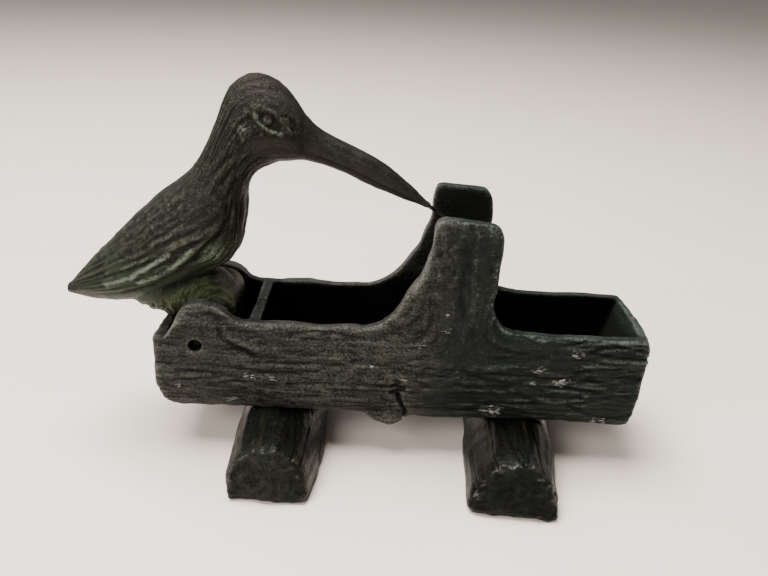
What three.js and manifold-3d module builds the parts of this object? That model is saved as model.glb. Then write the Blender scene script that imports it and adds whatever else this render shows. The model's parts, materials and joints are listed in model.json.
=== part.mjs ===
// A cast-metal toothpick dispenser. A long-billed bird stands at one end of a hollow log, tips
// forward on a cross pin, dips its beak between two posts and picks a toothpick out of the trough.
// Millimetres, +Z up: x runs along the log from near its bird end, y across it, z up from the table.
import * as THREE from "three";
import { mergeVertices } from "three/addons/utils/BufferGeometryUtils.js";
import Module from "manifold-3d";

const wasm = await Module();
wasm.setup();

// Driving dimensions.
const gap = 0.3; // clearance between separate pieces
const overshoot = 5; // how far a cutter runs past what it cuts

const log = {
  birdEnd: -1.5,
  farEnd: 95,
  bottom: 7.4,
  rim: 29.5,
  birdEndTop: 26, // the end wall under the bird is lower than the rim
  halfWidth: 12,
  rimHalfWidth: 11.3,
  postTop: 52.1,
};
const hollow = {
  floor: 11,
  halfWidth: 9.2,
  postHalfWidth: 8.1, // the posts and ears are thicker than the walls
  bayStart: 0.7,
  bayEnd: 16.9,
  troughStart: 19.1,
  troughEnd: 93,
  startSlope: 2.6, // the trough's end walls lean in towards its floor
  endSlope: 4.2,
};
const pivot = { x: 6.9, z: 24.6 };
const pin = { radius: 1, halfLength: 11 };
const boss = { radius: 4.8, reach: 12.3 };
const knot = { x: 45.2, y: -8.6, z: 10.2, radius: 3.2 };

const foot = { endSlope: 2.3, height: 10.8 };
const frontFoot = { x: 22.9, rivetX: 24.9, turn: -0.5, halfLength: 27.8, swell: 0.15 };
const rearFoot = { x: 71.3, rivetX: 71.3, turn: -4.2, halfLength: 29, swell: 0.06 };
const rivet = {
  shankRadius: 1.6,
  headRadius: 2.8,
  headHeight: 1.1,
  footRecess: 2.2,
  tailBottom: 0.7,
};

const legs = { x: 0.8, z: 31.5, halfSize: [10.5, 6.2, 5] }; // the feathered legs, drawn in close
const heel = { x: -0.1, length: 2.2, breadth: 6, height: 4 }; // rests on the low end wall
const drum = { x: 9.6, z: 30, radius: 4.1, halfWidth: 5.2 };
const lug = { inner: 2.9, outer: 5.2 };
const springPocket = 2.7;
const springBar = { x: 4.4, z: 0.3, radius: 0.8 }; // from the pivot
const spring = { coilRadius: 1.95, wireRadius: 0.28, halfWidth: 2.2, turns: 4.25, wallLeg: 5.8, barLeg: 4 };
const springStart = (3 / 4) * Math.PI; // where the leg to the end wall leaves the coil
const needle = { base: [48.7, 52.55], tip: [54.5, 48.7], radius: 0.35 };

// The bird's sections from tail to beak: the top point, the bottom point and the half-width.
const birdSections = [
  [-21.5, 30.3, -21.4, 29.2, 1.2],
  [-18.8, 33.7, -17.0, 28.6, 3.4],
  [-14.2, 38.8, -10.5, 28.4, 6],
  [-7.6, 45.5, -2.5, 30, 8.3],
  [-1.2, 51.5, 5.5, 34.5, 9],
  [2.9, 54.5, 11.6, 37.8, 8.8],
  [4.9, 56.2, 14.4, 42, 8],
  [6, 57.6, 15.5, 48.1, 7],
  [6.9, 58.9, 16, 53, 6.2],
  [9, 62.8, 16.9, 55.5, 5.7],
  [11.1, 67.7, 18, 56.8, 5.7],
  [13.1, 72.2, 20.2, 57.9, 6],
  [16.8, 74.7, 22.1, 58.7, 6.2],
  [20.4, 74.3, 24, 59, 6],
  [24, 71.8, 25.9, 59.2, 5.1],
  [27.7, 66.7, 28, 59, 3.7],
  [31.5, 64.1, 31.6, 58, 2.9],
  [37.1, 61.5, 35.4, 56.6, 2.4],
  [41, 59.6, 39.3, 54.8, 2.1],
  [44.9, 56.9, 43.2, 53.4, 1.7],
  [49, 53.5, 47.6, 51.7, 1.2],
  [51.4, 51.7, 50.4, 50.1, 0.95],
];

// A closed geometry as a solid that can be joined and cut.
function solid(geometry) {
  const bare = geometry.clone();
  bare.deleteAttribute("normal");
  bare.deleteAttribute("uv");
  const merged = mergeVertices(bare, 1e-4);
  return new wasm.Manifold(
    new wasm.Mesh({
      numProp: 3,
      vertProperties: merged.attributes.position.array,
      triVerts: new Uint32Array(merged.index.array),
    }),
  );
}

// A solid as a geometry with flat faces.
function geometryOf(body) {
  const mesh = body.getMesh();
  const geometry = new THREE.BufferGeometry();
  geometry.setAttribute("position", new THREE.BufferAttribute(mesh.vertProperties, 3));
  geometry.setIndex(new THREE.BufferAttribute(mesh.triVerts, 1));
  geometry.computeVertexNormals();
  return geometry;
}

// A side-view shape (x, z) given thickness from y = -half to y = half.
function acrossLog(shape, half) {
  const geometry = new THREE.ExtrudeGeometry(shape, { depth: 2 * half, bevelEnabled: false, curveSegments: 5 });
  return geometry.rotateX(Math.PI / 2).translate(0, half, 0);
}

// An end-view shape (y, z) run along the log from one x to another.
function alongLog(shape, from, to) {
  const geometry = new THREE.ExtrudeGeometry(shape, { depth: to - from, bevelEnabled: false });
  const endViewToLog = new THREE.Matrix4().set(0, 0, 1, from, 1, 0, 0, 0, 0, 1, 0, 0, 0, 0, 0, 1);
  return geometry.applyMatrix4(endViewToLog);
}

function rodAcross(radius, from, to, x, z, sides = 24) {
  return new THREE.CylinderGeometry(radius, radius, to - from, sides).translate(x, (from + to) / 2, z);
}

// Half an end view, from the middle of the floor outwards and up, mirrored into a whole shape.
function mirroredShape(half) {
  const right = half.getPoints(6);
  const left = right.map((p) => new THREE.Vector2(-p.x, p.y)).reverse();
  return new THREE.Shape([...right, ...left.slice(0, -1)]);
}

// The log's end view, grown by a clearance. It reaches up as high as the posts.
function logSection(clearance) {
  const half = new THREE.Path();
  const bottom = log.bottom - clearance;
  const widest = log.halfWidth + clearance;
  const rimWidth = log.rimHalfWidth + clearance;
  half.moveTo(0, bottom);
  half.quadraticCurveTo(10.4 + clearance, bottom + 0.1, 11.4 + clearance, 12.4);
  half.quadraticCurveTo(widest + 0.3, 16, widest, 22);
  half.quadraticCurveTo(widest - 0.1, 26, rimWidth, log.rim);
  half.lineTo(rimWidth, log.postTop - 2.3);
  half.lineTo(rimWidth - 1.1, log.postTop + 1);
  return mirroredShape(half);
}

function hollowSection() {
  const half = new THREE.Path();
  half.moveTo(0, hollow.floor);
  half.quadraticCurveTo(6, hollow.floor, 7.9, 14.5);
  half.quadraticCurveTo(hollow.halfWidth + 0.2, 18, hollow.halfWidth, 24);
  half.lineTo(hollow.halfWidth - 0.2, log.rim);
  half.lineTo(hollow.postHalfWidth, log.rim + 4.5);
  half.lineTo(hollow.postHalfWidth, log.postTop + overshoot);
  return mirroredShape(half);
}

// The trough's side view, longer at the rim than at the floor.
function troughSideView() {
  const side = new THREE.Shape();
  side.moveTo(hollow.troughStart + hollow.startSlope, hollow.floor);
  side.lineTo(hollow.troughStart, log.rim - 1);
  side.lineTo(hollow.troughStart, log.postTop + overshoot);
  side.lineTo(hollow.troughEnd, log.postTop + overshoot);
  side.lineTo(hollow.troughEnd, log.rim - 1);
  side.lineTo(hollow.troughEnd - hollow.endSlope, hollow.floor);
  return side;
}

// The log's side view: low bird end, ear round the pin, rim, forked post, rim, far end.
function logSideView() {
  const side = new THREE.Shape();
  side.moveTo(1.4, log.bottom - 1);
  side.quadraticCurveTo(-1.4, 12, log.birdEnd, 19);
  side.lineTo(log.birdEnd, log.birdEndTop);
  side.lineTo(0.8, log.birdEndTop);
  side.quadraticCurveTo(2.2, 27.4, 3.4, 30.4);
  side.quadraticCurveTo(4.9, 33.2, 8, 33.2);
  side.quadraticCurveTo(11.5, 33, 13.3, 30.8);
  side.quadraticCurveTo(14.6, log.rim, 16.5, log.rim);
  side.lineTo(39.5, log.rim);
  side.quadraticCurveTo(44.5, 30.6, 47, 35.6);
  side.quadraticCurveTo(48.2, 38.2, 49.9, 40.6);
  side.quadraticCurveTo(51.4, 43.4, 51.6, 48);
  side.quadraticCurveTo(51.6, log.postTop, 53.8, log.postTop);
  side.lineTo(62.4, log.postTop - 0.5);
  side.quadraticCurveTo(64.8, 51.2, 65, 47);
  side.quadraticCurveTo(65.1, 43.6, 64.2, 40.6);
  side.quadraticCurveTo(62.6, 31.5, 68.2, 29.9);
  side.quadraticCurveTo(70, log.rim, 72, log.rim);
  side.lineTo(94.2, log.rim);
  side.lineTo(log.farEnd, 27.5);
  side.quadraticCurveTo(log.farEnd, 15, 93.4, log.bottom - 1);
  return side;
}

function rivetHole(x) {
  const radius = rivet.shankRadius + gap;
  const height = hollow.floor + overshoot;
  return new THREE.CylinderGeometry(radius, radius, height, 20)
    .rotateX(Math.PI / 2)
    .translate(x, 0, height / 2 - 1);
}

function makeLog() {
  const depth = log.halfWidth + overshoot;
  let body = solid(alongLog(logSection(0), log.birdEnd - overshoot, log.farEnd + overshoot));
  body = body.intersect(solid(acrossLog(logSideView(), depth)));
  for (const side of [-1, 1]) {
    const ends = [side * (boss.reach - 2), side * boss.reach].sort((a, b) => a - b);
    body = body.add(solid(rodAcross(boss.radius, ends[0], ends[1], pivot.x, pivot.z, 28)));
  }
  const knob = new THREE.SphereGeometry(knot.radius, 16, 12).translate(knot.x, knot.y, knot.z);
  body = body.add(solid(knob));
  body = body.subtract(solid(alongLog(hollowSection(), hollow.bayStart, hollow.bayEnd)));
  const trough = solid(alongLog(hollowSection(), hollow.troughStart, hollow.troughEnd));
  body = body.subtract(trough.intersect(solid(acrossLog(troughSideView(), depth))));
  body = body.subtract(solid(rodAcross(pin.radius + gap, -depth, depth, pivot.x, pivot.z)));
  for (const x of [frontFoot.rivetX, rearFoot.rivetX]) {
    body = body.subtract(solid(rivetHole(x)));
  }
  return geometryOf(body);
}

// The feet are split logs, each chopped with its own few facets. Both are widest under the log.
function frontFootEnd() {
  const end = new THREE.Shape();
  end.moveTo(-7.8, 0);
  end.lineTo(7.7, 0);
  end.lineTo(8.1, 1);
  end.lineTo(6.6, 7.4);
  end.quadraticCurveTo(4.6, 9.8, 0.6, foot.height);
  end.quadraticCurveTo(-4.4, 10.4, -6.3, 8.6);
  end.lineTo(-8.1, 1.6);
  return end;
}

function rearFootEnd() {
  const end = new THREE.Shape();
  end.moveTo(-8.6, 0);
  end.lineTo(8.4, 0);
  end.lineTo(8.8, 1);
  end.lineTo(7.3, 6.4);
  end.quadraticCurveTo(5.2, 10.2, 3, foot.height);
  end.lineTo(-3, foot.height - 0.2);
  end.lineTo(-7.4, 5.6);
  end.lineTo(-8.8, 1.2);
  return end;
}

function makeFoot(end, place) {
  const geometry = new THREE.ExtrudeGeometry(end, {
    depth: 2 * place.halfLength,
    steps: 8,
    curveSegments: 4,
    bevelEnabled: false,
  });
  geometry.rotateX(Math.PI / 2).translate(0, place.halfLength, 0);
  const at = geometry.attributes.position;
  for (let i = 0; i < at.count; i++) {
    const reach = at.getY(i) / place.halfLength;
    const chop = 1 - (foot.endSlope / place.halfLength) * (at.getZ(i) / foot.height);
    at.setX(i, at.getX(i) * (1 + place.swell * (1 - reach * reach)));
    at.setY(i, at.getY(i) * chop);
  }
  geometry.rotateZ(THREE.MathUtils.degToRad(place.turn)).translate(place.x, 0, 0);
  const recess = new THREE.CylinderGeometry(
    rivet.headRadius + gap,
    rivet.headRadius + gap,
    rivet.footRecess + overshoot,
    24,
  );
  recess.rotateX(Math.PI / 2).translate(place.rivetX, 0, (rivet.footRecess - overshoot) / 2);
  let body = solid(geometry);
  body = body.subtract(solid(alongLog(logSection(gap), log.birdEnd, log.farEnd)));
  body = body.subtract(solid(rivetHole(place.rivetX)));
  body = body.subtract(solid(recess));
  return geometryOf(body);
}

// A rivet stands on its spread tail under the foot and ends in a low head on the trough's floor.
function makeRivet(x) {
  const tailTop = rivet.footRecess - gap;
  const headBottom = hollow.floor + 2 * gap;
  const headTop = headBottom + rivet.headHeight;
  const profile = [
    [0, rivet.tailBottom],
    [rivet.headRadius, rivet.tailBottom],
    [rivet.headRadius, tailTop],
    [rivet.shankRadius, tailTop],
    [rivet.shankRadius, headBottom],
    [rivet.headRadius, headBottom],
    [rivet.headRadius * 0.8, headTop - 0.3],
    [rivet.headRadius * 0.4, headTop],
    [0, headTop],
  ].map(([r, z]) => new THREE.Vector2(r, z));
  return new THREE.LatheGeometry(profile, 24).rotateX(Math.PI / 2).translate(x, 0, 0);
}

function makePin() {
  return rodAcross(pin.radius, -pin.halfLength, pin.halfLength, pivot.x, pivot.z);
}

// The bird's body, neck, head and beak as one skin, wrapped round its sections. A closed cylinder is
// bent into it: its height runs from tail to beak and its sides go round each section.
function birdSkin() {
  const smooth = (pick) => new THREE.SplineCurve(birdSections.map((section) => new THREE.Vector2(...pick(section))));
  const top = smooth(([x, z]) => [x, z]);
  const bottom = smooth(([, , x, z]) => [x, z]);
  const width = smooth(([, , , , half]) => [half, 0]);
  const geometry = new THREE.CylinderGeometry(1, 1, 1, 24, 2 * birdSections.length);
  const at = geometry.attributes.position;
  for (let i = 0; i < at.count; i++) {
    const along = THREE.MathUtils.clamp(at.getY(i) + 0.5, 0, 1);
    const high = top.getPoint(along);
    const low = bottom.getPoint(along);
    const lift = at.getX(i);
    const x = (high.x + low.x) / 2 + (lift * (high.x - low.x)) / 2;
    const z = (high.y + low.y) / 2 + (lift * (high.y - low.y)) / 2;
    at.setXYZ(i, x, at.getZ(i) * width.getPoint(along).x, z);
  }
  return geometry;
}

// The two hub lugs hang from the drum, hold the pin and carry a bar that the spring pushes up on.
function lugOutline() {
  const outline = new THREE.Shape();
  outline.moveTo(-2.9, 0.3);
  outline.quadraticCurveTo(-2.9, -2.9, 0, -2.9);
  outline.lineTo(3.4, -1.9);
  outline.quadraticCurveTo(6, -1.4, 6.1, 0.6);
  outline.lineTo(5.6, 5);
  outline.lineTo(-0.6, 6);
  return outline;
}

function makeBird() {
  let body = solid(birdSkin());
  const [length, breadth, height] = legs.halfSize;
  const legsSkin = new THREE.SphereGeometry(1, 24, 16).scale(length, breadth, height);
  legsSkin.translate(legs.x, 0, legs.z);
  body = body.add(solid(legsSkin));
  body = body.add(solid(rodAcross(drum.radius, -drum.halfWidth, drum.halfWidth, drum.x, drum.z, 32)));
  const heelBlock = new THREE.BoxGeometry(heel.length, heel.breadth, heel.height);
  heelBlock.translate(heel.x, 0, log.birdEndTop + gap + heel.height / 2);
  body = body.add(solid(heelBlock));
  const plate = acrossLog(lugOutline(), (lug.outer - lug.inner) / 2).translate(pivot.x, 0, pivot.z);
  for (const side of [-1, 1]) {
    const middle = (side * (lug.outer + lug.inner)) / 2;
    body = body.add(solid(plate.clone().translate(0, middle, 0)));
  }
  body = body.subtract(solid(rodAcross(springPocket, -lug.inner, lug.inner, pivot.x, pivot.z)));
  const barX = pivot.x + springBar.x;
  const barZ = pivot.z + springBar.z;
  body = body.add(solid(rodAcross(springBar.radius, -lug.inner - gap, lug.inner + gap, barX, barZ)));
  body = body.subtract(solid(rodAcross(pin.radius + gap, -log.halfWidth, log.halfWidth, pivot.x, pivot.z)));
  body = body.subtract(solid(needleRod(needle.radius + gap)));
  return geometryOf(body);
}

// The needle lies in the side view, from inside the beak to its bare point.
function needleRod(radius) {
  const [fromX, fromZ] = needle.base;
  const [toX, toZ] = needle.tip;
  const grow = radius - needle.radius;
  const length = Math.hypot(toX - fromX, toZ - fromZ) + 2 * grow;
  const pointRadius = radius * 0.6;
  const rod = new THREE.CylinderGeometry(pointRadius, radius, length, 12);
  rod.rotateZ(-Math.PI / 2).rotateX(Math.PI / 2);
  rod.rotateY(Math.atan2(fromZ - toZ, toX - fromX));
  return rod.translate((fromX + toX) / 2, 0, (fromZ + toZ) / 2);
}

// The spring coils round the pin. One end lies on the bay's end wall, the other under the bird's bar.
class SpringWire extends THREE.Curve {
  constructor() {
    super();
    this.coilLength = 2 * Math.PI * spring.coilRadius * spring.turns;
    this.length = spring.wallLeg + this.coilLength + spring.barLeg;
  }
  getPoint(t, target = new THREE.Vector3()) {
    const along = t * this.length;
    const onCoil = THREE.MathUtils.clamp(along - spring.wallLeg, 0, this.coilLength);
    const past = along - spring.wallLeg - onCoil;
    const angle = springStart - onCoil / spring.coilRadius;
    const y = -spring.halfWidth + 2 * spring.halfWidth * (onCoil / this.coilLength);
    const x = spring.coilRadius * Math.cos(angle) + past * Math.sin(angle);
    const z = spring.coilRadius * Math.sin(angle) - past * Math.cos(angle);
    return target.set(pivot.x + x, y, pivot.z + z);
  }
}

function makeSpring() {
  const section = new THREE.Shape().absarc(0, 0, spring.wireRadius, 0, 2 * Math.PI);
  return new THREE.ExtrudeGeometry(section, { extrudePath: new SpringWire(), steps: 110, curveSegments: 4 });
}

const materials = {
  castLog: new THREE.MeshStandardMaterial({ color: 0x34332f, roughness: 0.55, metalness: 0.6 }),
  castFoot: new THREE.MeshStandardMaterial({ color: 0x2b2c29, roughness: 0.45, metalness: 0.6 }),
  castBird: new THREE.MeshStandardMaterial({ color: 0x413b35, roughness: 0.5, metalness: 0.6 }),
  steel: new THREE.MeshStandardMaterial({ color: 0x6b6660, roughness: 0.4, metalness: 0.9 }),
};

const dispenser = new THREE.Group();

function addPiece(name, geometry, material) {
  const piece = new THREE.Mesh(geometry, material);
  piece.name = name;
  dispenser.add(piece);
}

addPiece("log_trough", makeLog(), materials.castLog);
addPiece("front_foot", makeFoot(frontFootEnd(), frontFoot), materials.castFoot);
addPiece("rear_foot", makeFoot(rearFootEnd(), rearFoot), materials.castFoot);
addPiece("front_foot_rivet", makeRivet(frontFoot.rivetX), materials.steel);
addPiece("rear_foot_rivet", makeRivet(rearFoot.rivetX), materials.steel);
addPiece("pivot_pin", makePin(), materials.steel);
addPiece("bird", makeBird(), materials.castBird);
addPiece("beak_needle", needleRod(needle.radius), materials.steel);
addPiece("return_spring", makeSpring(), materials.steel);

// The finished part's origin is under the middle of its whole length, at table height.
const tailTip = birdSections[0][0];
dispenser.position.x = -(tailTip + log.farEnd) / 2;
const part = new THREE.Group();
part.add(dispenser);

export default part;
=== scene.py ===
import json
import math

import bmesh
import bpy
import numpy as np
from mathutils import Matrix, Vector, noise


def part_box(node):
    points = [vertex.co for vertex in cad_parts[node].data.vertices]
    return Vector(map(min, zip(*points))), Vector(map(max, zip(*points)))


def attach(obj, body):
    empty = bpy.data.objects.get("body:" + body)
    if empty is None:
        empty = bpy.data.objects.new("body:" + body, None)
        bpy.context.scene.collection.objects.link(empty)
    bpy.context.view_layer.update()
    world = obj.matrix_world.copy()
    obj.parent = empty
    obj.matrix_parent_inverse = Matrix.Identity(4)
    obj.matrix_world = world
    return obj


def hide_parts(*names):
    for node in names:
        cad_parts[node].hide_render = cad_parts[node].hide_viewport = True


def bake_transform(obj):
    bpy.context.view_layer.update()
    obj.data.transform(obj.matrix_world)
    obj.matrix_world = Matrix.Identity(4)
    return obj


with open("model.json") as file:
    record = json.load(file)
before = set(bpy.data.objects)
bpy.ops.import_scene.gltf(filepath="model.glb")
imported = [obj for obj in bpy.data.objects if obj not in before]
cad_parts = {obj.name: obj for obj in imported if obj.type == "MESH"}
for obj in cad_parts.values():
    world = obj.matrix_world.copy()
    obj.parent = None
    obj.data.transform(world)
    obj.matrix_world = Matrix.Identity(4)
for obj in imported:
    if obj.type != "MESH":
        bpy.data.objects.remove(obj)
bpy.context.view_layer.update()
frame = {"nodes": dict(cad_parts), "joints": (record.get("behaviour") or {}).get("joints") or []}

# The shapes below are drawn in millimetres in the log's own frame: x runs along the log from near
# its bird end, y across it and z up from the table. The log's far end is at farEnd.
farEnd = 95.0
mm = 0.001
shift = Vector((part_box("log_trough")[1].x - farEnd * mm, 0, 0))
pivotAt = Vector(frame["joints"][0]["pos_m"])
pivotX = (pivotAt.x - shift.x) / mm
pivotZ = pivotAt.z / mm


def fade(value, low, high):
    # 0 below low, 1 above high, smooth between; low may be the larger one
    t = np.clip((value - low) / (high - low), 0, 1)
    return t * t * (3 - 2 * t)


def hump(value, middle, reach):
    return np.exp(-(((value - middle) / reach) ** 2))


def ripple(points, stretch, seed=0):
    # smooth noise, about -0.7 to 0.7, stretched by a size in mm along each direction
    size = np.array(stretch, float)
    cells = points / size + seed * 7.3
    return np.array([noise.noise(cell) for cell in cells.tolist()])


def stack(*columns):
    # points made of separate coordinates; numbers stand for constant ones
    count = max(np.size(column) for column in columns)
    return np.stack([np.broadcast_to(np.asarray(column, float), count) for column in columns], axis=1)


def distanceToPath(x, z, path):
    # shortest distance in the side view to a chain of points
    best = np.full(len(x), 1e9)
    for (x0, z0), (x1, z1) in zip(path, path[1:]):
        dx, dz = x1 - x0, z1 - z0
        t = np.clip(((x - x0) * dx + (z - z0) * dz) / (dx * dx + dz * dz), 0, 1)
        best = np.minimum(best, np.hypot(x - x0 - t * dx, z - z0 - t * dz))
    return best


def insideOutline(x, z, outline):
    # signed distance in the side view, positive inside a closed outline
    ring = outline + outline[:1]
    inside = np.zeros(len(x), bool)
    for (x0, z0), (x1, z1) in zip(ring, ring[1:]):
        crosses = (z0 > z) != (z1 > z)
        height = (z1 - z0) or 1e-9
        inside ^= crosses & (x < (x1 - x0) * (z - z0) / height + x0)
    return np.where(inside, 1, -1) * distanceToPath(x, z, ring)


def newPiece(name, bm):
    mesh = bpy.data.meshes.new(name)
    bm.to_mesh(mesh)
    bm.free()
    piece = bpy.data.objects.new(name, mesh)
    bpy.context.scene.collection.objects.link(piece)
    return piece


def nodeBlank(node):
    # a merged copy of a CAD node, in millimetres in the log's frame
    bm = bmesh.new()
    bm.from_mesh(frame["nodes"][node].data)
    bmesh.ops.remove_doubles(bm, verts=bm.verts, dist=1e-6)
    bmesh.ops.translate(bm, verts=bm.verts, vec=-shift)
    bmesh.ops.scale(bm, verts=bm.verts, vec=(1 / mm,) * 3)
    return bm


def addBall(bm, centre, halfSize, segments=48):
    place = Matrix.Translation(centre) @ Matrix.Diagonal((*halfSize, 1))
    bmesh.ops.create_uvsphere(bm, u_segments=segments, v_segments=segments // 2, radius=1, matrix=place)


def addRod(bm, start, end, radius, endRadius, segments):
    along = end - start
    turn = along.to_track_quat("Z", "Y").to_matrix().to_4x4()
    place = Matrix.Translation((start + end) / 2) @ turn
    bmesh.ops.create_cone(
        bm, cap_ends=True, segments=segments, radius1=radius, radius2=endRadius,
        depth=along.length, matrix=place)


def settle(piece):
    # makes the modifiers' result the piece's own mesh
    bpy.context.view_layer.update()
    graph = bpy.context.evaluated_depsgraph_get()
    mesh = bpy.data.meshes.new_from_object(piece.evaluated_get(graph))
    mesh.materials.clear()
    piece.modifiers.clear()
    piece.data = mesh


def fuse(piece, voxel, smoothing):
    # melts overlapping blanks into one skin, as one casting, and softens its edges
    melt = piece.modifiers.new("melt", "REMESH")
    melt.mode = "VOXEL"
    melt.voxel_size = voxel
    soften = piece.modifiers.new("soften", "SMOOTH")
    soften.factor = 0.5
    soften.iterations = smoothing
    settle(piece)


def readPoints(mesh):
    co = np.empty(len(mesh.vertices) * 3)
    mesh.vertices.foreach_get("co", co)
    no = np.empty(len(mesh.vertices) * 3)
    mesh.vertex_normals.foreach_get("vector", no)
    return co.reshape(-1, 3), no.reshape(-1, 3)


def sculpt(piece, height):
    # moves each point along its normal by height(points, normals), in mm
    co, no = readPoints(piece.data)
    co += no * height(co, no)[:, None]
    piece.data.vertices.foreach_set("co", co.ravel())
    piece.data.update()


def paintMask(mesh, name, values):
    mask = mesh.attributes.new(name, "FLOAT", "POINT")
    mask.data.foreach_set("value", np.asarray(values, np.float32))


def paintRelief(piece, rounds, depth):
    # how far each point stands out of (1) or lies below (-1) the surface round it
    mesh = piece.data
    co, no = readPoints(mesh)
    ends = np.empty(len(mesh.edges) * 2, int)
    mesh.edges.foreach_get("vertices", ends)
    one, other = ends.reshape(-1, 2).T
    count = np.bincount(one, minlength=len(co)) + np.bincount(other, minlength=len(co))
    calm = co.copy()
    for _ in range(rounds):
        for axis in range(3):
            column = calm[:, axis]
            total = np.bincount(one, column[other], len(co)) + np.bincount(other, column[one], len(co))
            calm[:, axis] = (column + total / count) / 2
    paintMask(mesh, "relief", np.clip(((co - calm) * no).sum(1) / depth, -1, 1))


def finishPiece(piece, body, material, nodes):
    piece.data.transform(Matrix.Translation(shift) @ Matrix.Scale(mm, 4))
    piece.data.update()
    for polygon in piece.data.polygons:
        polygon.use_smooth = True
    piece.data.materials.append(material)
    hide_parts(*nodes)
    if body:
        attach(piece, body)
    return piece


class Field:
    # a shader value that takes part in sums as a number does
    def __init__(self, paint, socket):
        self.paint = paint
        self.socket = socket

    def sum(self, operation, first, second):
        return self.paint.add("ShaderNodeMath", {"operation": operation}, {0: first, 1: second})

    def __add__(self, other):
        return self.sum("ADD", self, other)

    def __radd__(self, other):
        return self.sum("ADD", other, self)

    def __sub__(self, other):
        return self.sum("SUBTRACT", self, other)

    def __rsub__(self, other):
        return self.sum("SUBTRACT", other, self)

    def __mul__(self, other):
        return self.sum("MULTIPLY", self, other)

    def __rmul__(self, other):
        return self.sum("MULTIPLY", other, self)


class Paint:
    def __init__(self, name):
        self.material = bpy.data.materials.new(name)
        self.material.use_nodes = True
        self.tree = self.material.node_tree
        self.tree.nodes.clear()
        self.place = self.add("ShaderNodeTexCoord", {}, {}, "Object")

    def add(self, kind, settings, sockets, out=0):
        # one node: its settings first, then the values or links of its sockets
        node = self.tree.nodes.new(kind)
        for key, value in settings.items():
            setattr(node, key, value)
        for key, value in sockets.items():
            if isinstance(value, Field):
                self.tree.links.new(value.socket, node.inputs[key])
            else:
                node.inputs[key].default_value = value
        return Field(self, node.outputs[out])

    def fade(self, value, low, high):
        sockets = {"Value": value, "From Min": low, "From Max": high}
        return self.add("ShaderNodeMapRange", {"interpolation_type": "SMOOTHSTEP"}, sockets)

    def mix(self, factor, first, second):
        sockets = {0: factor, 6: first, 7: second}
        return self.add("ShaderNodeMix", {"data_type": "RGBA"}, sockets, 2)

    def mask(self, name):
        return self.add("ShaderNodeAttribute", {"attribute_name": name}, {}, "Fac")

    def stretched(self, stretch):
        # the place, divided by a size in mm along each direction
        scale = tuple(1 / (size * mm) for size in stretch)
        return self.add("ShaderNodeMapping", {}, {"Vector": self.place, "Scale": scale})

    def cloud(self, size, detail=3.0, rough=0.55, seed=0.0):
        # noise of about 0 to 1; size is one number or one along each direction, in mm
        stretch = size if isinstance(size, tuple) else (size,) * 3
        sockets = {"Vector": self.stretched(stretch), "W": seed, "Scale": 1.0}
        sockets |= {"Detail": detail, "Roughness": rough}
        return self.add("ShaderNodeTexNoise", {"noise_dimensions": "4D"}, sockets)

    def bump(self, height, depth, under=None):
        sockets = {"Height": height, "Strength": 1.0, "Distance": depth * mm}
        if under:
            sockets["Normal"] = under
        return self.add("ShaderNodeBump", {}, sockets)

    def finish(self, colour, roughness, metallic, normal, **fixed):
        sockets = {"Base Color": colour, "Roughness": roughness, "Metallic": metallic, "Normal": normal}
        shader = self.add("ShaderNodeBsdfPrincipled", {}, {**sockets, **fixed})
        output = self.tree.nodes.new("ShaderNodeOutputMaterial")
        self.tree.links.new(shader.socket, output.inputs["Surface"])
        return self.material


logLook = {
    "voxel": 0.38,
    "smoothing": 5,
    "bark": 0.5,  # depth of the bark, in mm
    "postMiddle": 58.2,
    "grainFork": 21.0,  # above this height the grain turns up into a post
    "earRound": (7.5, 12.3),  # radius of the ears' faces and how far out they stand
    "endBulge": 0.9,
    "farPostRise": 1.1,
    "chip": (0.5, 0.5, 0.45, 1),
    "dark": (0.006, 0.0057, 0.0045, 1),
    "mid": (0.07, 0.0695, 0.059, 1),
    "rubbed": (0.15, 0.149, 0.13, 1),
    "shaded": (0.0062, 0.0098, 0.0077, 1),
    "greyed": (0.103, 0.128, 0.109, 1),
    # crease: near black, painted shade in the grooves and cracks
    "creaseShade": (0.0035, 0.0035, 0.003, 1),
    # inside: near black, painted shade for the inside of the trough
    "inside": (0.0016, 0.0021, 0.0018, 1),
}


def barkFlow(co):
    # along and across the grain: it runs along the log and turns up into the posts
    x, y, z = co.T
    fromPost = np.abs(x - logLook["postMiddle"])
    girth = np.where(z < 14, z - np.maximum(0, 11 - np.abs(y)) * 0.9, z)
    upPost = logLook["grainFork"] + 1.2 * fromPost
    turn = 2.2
    across = -turn * np.logaddexp(-girth / turn, -upPost / turn)
    inPost = fade(z, 19, 27) * fade(fromPost, 20, 9)
    return x, z - fromPost, across, inPost


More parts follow.
